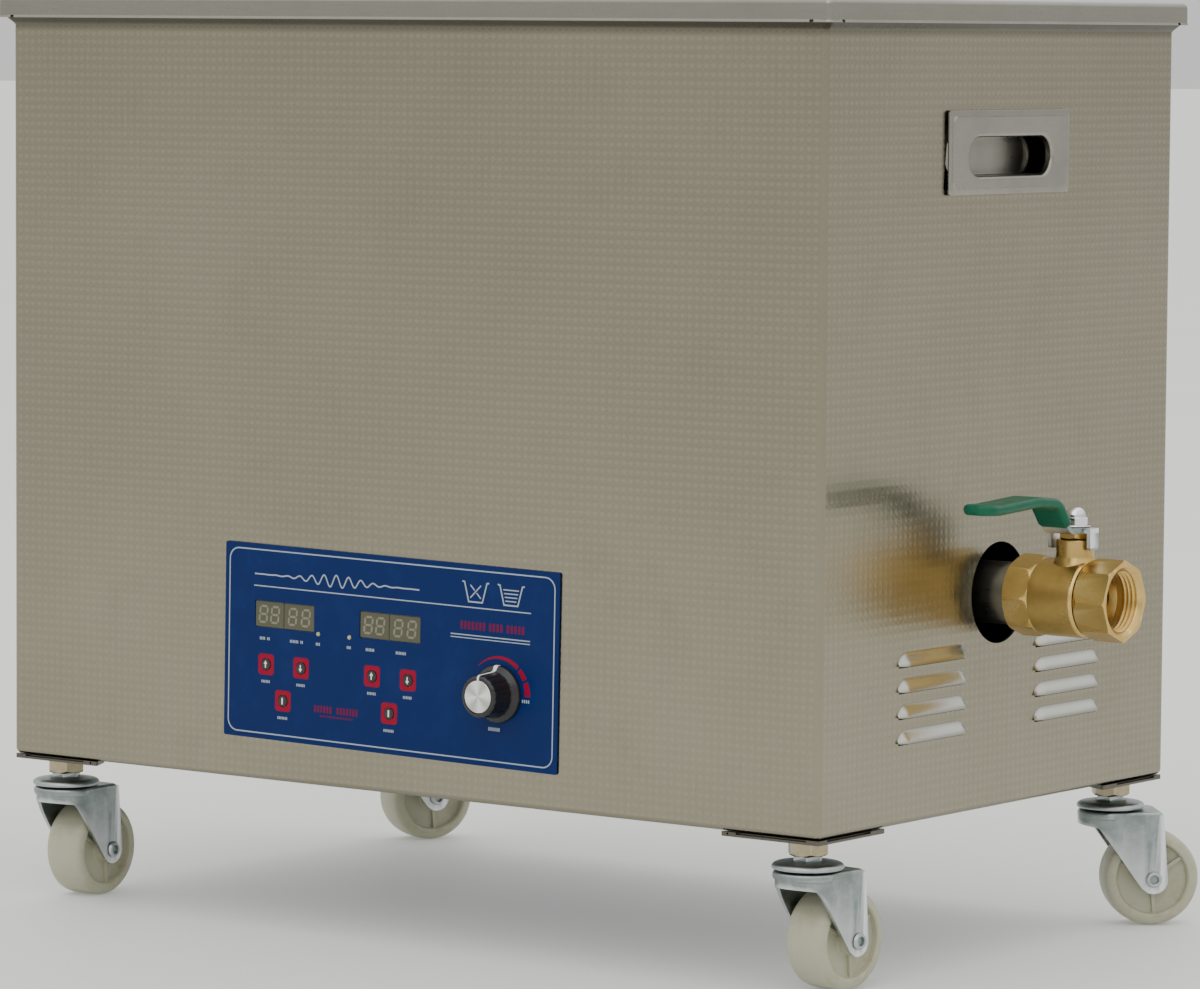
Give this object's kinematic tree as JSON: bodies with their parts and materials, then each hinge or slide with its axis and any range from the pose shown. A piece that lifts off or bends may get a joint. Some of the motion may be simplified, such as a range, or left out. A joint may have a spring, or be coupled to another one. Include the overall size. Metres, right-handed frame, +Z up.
{
  "type": "parts washer tank",
  "caption": "Heated ultrasonic washing tank in a stainless cabinet on swivel casters, with a control panel, recessed handles and a lever ball valve drain.",
  "frame": {"origin": "centre of the whole object's outline (cabinet, drain valve and casters) on the floor", "axes": "+X to the right-hand side with the drain valve, +Y to the back, +Z up; the control panel faces -Y"},
  "size_m": [0.6104, 0.3692, 0.49],
  "materials": {
    "embossed_steel": "linen-embossed stainless sheet, satin",
    "tank_steel": "plain stainless sheet, fine brushed with a bright rim",
    "polished_steel": "bright stainless, lightly brushed",
    "zinc_steel": "bright zinc plate with a bluish tint",
    "yellow_zinc": "yellow passivated zinc plate",
    "brass": "forged brass, shot finish with machined flats",
    "chrome": "polished chrome plate",
    "green_vinyl": "dip-coated vinyl, semi gloss",
    "panel_film": "screen-printed polyester film, satin",
    "display_lens": "smoked display face, unlit",
    "black_gloss": "moulded phenolic, semi gloss",
    "black_plastic": "moulded plastic, matt",
    "spun_aluminium": "spun aluminium disc",
    "ivory_nylon": "moulded nylon, slightly stained",
    "circuit_board": "glass-epoxy board with parts",
    "transducer_metal": "turned aluminium and ceramic rings",
    "silicone": "silicone heater mat"
  },
  "bodies": {
    "cabinet": {"tank": "tank_steel", "housing": "embossed_steel", "base_plate": "zinc_steel", "control_overlay": "panel_film", "display_temperature": "display_lens", "display_timer": "display_lens", "control_board": "circuit_board", "generator_board": "circuit_board", "potentiometer": "zinc_steel", "handle_right": "polished_steel", "handle_left": "polished_steel", "drain_pipe": "polished_steel", "valve_body": "brass", "valve_end": "brass", "packing_nut": "brass", "heater_pad": "silicone", "power_inlet": "black_plastic", "transducer_1": "transducer_metal", "transducer_2": "transducer_metal", "transducer_3": "transducer_metal", "transducer_4": "transducer_metal", "corner_plate_front_left": "tank_steel", "caster_nut_front_left": "yellow_zinc", "caster_stem_front_left": "zinc_steel", "corner_plate_front_right": "tank_steel", "caster_nut_front_right": "yellow_zinc", "caster_stem_front_right": "zinc_steel", "corner_plate_back_right": "tank_steel", "caster_nut_back_right": "yellow_zinc", "caster_stem_back_right": "zinc_steel", "corner_plate_back_left": "tank_steel", "caster_nut_back_left": "yellow_zinc", "caster_stem_back_left": "zinc_steel"},
    "drain_lever": {"valve_lever": "zinc_steel", "valve_stem": "zinc_steel", "valve_ball": "chrome", "lever_grip": "green_vinyl", "lever_nut": "chrome"},
    "power_knob": {"knob": "black_gloss", "knob_cap": "spun_aluminium", "knob_shaft": "polished_steel"},
    "key_temp_up": {"button_temp_up": "black_plastic"},
    "key_temp_down": {"button_temp_down": "black_plastic"},
    "key_heater": {"button_heater": "black_plastic"},
    "key_time_up": {"button_time_up": "black_plastic"},
    "key_time_down": {"button_time_down": "black_plastic"},
    "key_timer": {"button_timer": "black_plastic"},
    "swivel_front_left": {"caster_fork_front_left": "zinc_steel", "caster_axle_front_left": "zinc_steel"},
    "wheel_front_left": {"caster_wheel_front_left": "ivory_nylon"},
    "swivel_front_right": {"caster_fork_front_right": "zinc_steel", "caster_axle_front_right": "zinc_steel"},
    "wheel_front_right": {"caster_wheel_front_right": "ivory_nylon"},
    "swivel_back_right": {"caster_fork_back_right": "zinc_steel", "caster_axle_back_right": "zinc_steel"},
    "wheel_back_right": {"caster_wheel_back_right": "ivory_nylon"},
    "swivel_back_left": {"caster_fork_back_left": "zinc_steel", "caster_axle_back_left": "zinc_steel"},
    "wheel_back_left": {"caster_wheel_back_left": "ivory_nylon"}
  },
  "joints": [
    {"name": "drain_valve", "type": "hinge", "parent": "cabinet", "child": "drain_lever", "pos_m": [0.27575, -0.00567, 0.19], "axis": [0, 0, 1], "range_deg": [0, 90]},
    {"name": "power_dial", "type": "hinge", "parent": "cabinet", "child": "power_knob", "pos_m": [0.03374, -0.16617, 0.13753], "axis": [0, 1, 0], "range_deg": [-150, 150]},
    {"name": "key_temp_up_press", "type": "slide", "parent": "cabinet", "child": "key_temp_up", "axis": [0, 1, 0], "range_m": [0, 0.0005], "stiffness_N_per_m": 400},
    {"name": "key_temp_down_press", "type": "slide", "parent": "cabinet", "child": "key_temp_down", "axis": [0, 1, 0], "range_m": [0, 0.0005], "stiffness_N_per_m": 400},
    {"name": "key_heater_press", "type": "slide", "parent": "cabinet", "child": "key_heater", "axis": [0, 1, 0], "range_m": [0, 0.0005], "stiffness_N_per_m": 400},
    {"name": "key_time_up_press", "type": "slide", "parent": "cabinet", "child": "key_time_up", "axis": [0, 1, 0], "range_m": [0, 0.0005], "stiffness_N_per_m": 400},
    {"name": "key_time_down_press", "type": "slide", "parent": "cabinet", "child": "key_time_down", "axis": [0, 1, 0], "range_m": [0, 0.0005], "stiffness_N_per_m": 400},
    {"name": "key_timer_press", "type": "slide", "parent": "cabinet", "child": "key_timer", "axis": [0, 1, 0], "range_m": [0, 0.0005], "stiffness_N_per_m": 400},
    {"name": "swivel_front_left_turn", "type": "hinge", "parent": "cabinet", "child": "swivel_front_left", "pos_m": [-0.27925, -0.14617, 0.0615], "axis": [0, 0, 1], "continuous": true},
    {"name": "wheel_front_left_roll", "type": "hinge", "parent": "swivel_front_left", "child": "wheel_front_left", "pos_m": [-0.27998, -0.12518, 0.0255], "axis": [-0.9994, -0.0349, 0], "continuous": true},
    {"name": "swivel_front_right_turn", "type": "hinge", "parent": "cabinet", "child": "swivel_front_right", "pos_m": [0.21075, -0.14617, 0.0615], "axis": [0, 0, 1], "continuous": true},
    {"name": "wheel_front_right_roll", "type": "hinge", "parent": "swivel_front_right", "child": "wheel_front_right", "pos_m": [0.21294, -0.12529, 0.0255], "axis": [-0.9945, 0.1045, 0], "continuous": true},
    {"name": "swivel_back_right_turn", "type": "hinge", "parent": "cabinet", "child": "swivel_back_right", "pos_m": [0.21075, 0.13883, 0.0615], "axis": [0, 0, 1], "continuous": true},
    {"name": "wheel_back_right_roll", "type": "hinge", "parent": "swivel_back_right", "child": "wheel_back_right", "pos_m": [0.22636, 0.15288, 0.0255], "axis": [-0.6691, 0.7431, 0], "continuous": true},
    {"name": "swivel_back_left_turn", "type": "hinge", "parent": "cabinet", "child": "swivel_back_left", "pos_m": [-0.27925, 0.13883, 0.0615], "axis": [0, 0, 1], "continuous": true},
    {"name": "wheel_back_left_roll", "type": "hinge", "parent": "swivel_back_left", "child": "wheel_back_left", "pos_m": [-0.27004, 0.15771, 0.0255], "axis": [-0.8988, 0.4384, 0], "continuous": true}
  ]
}
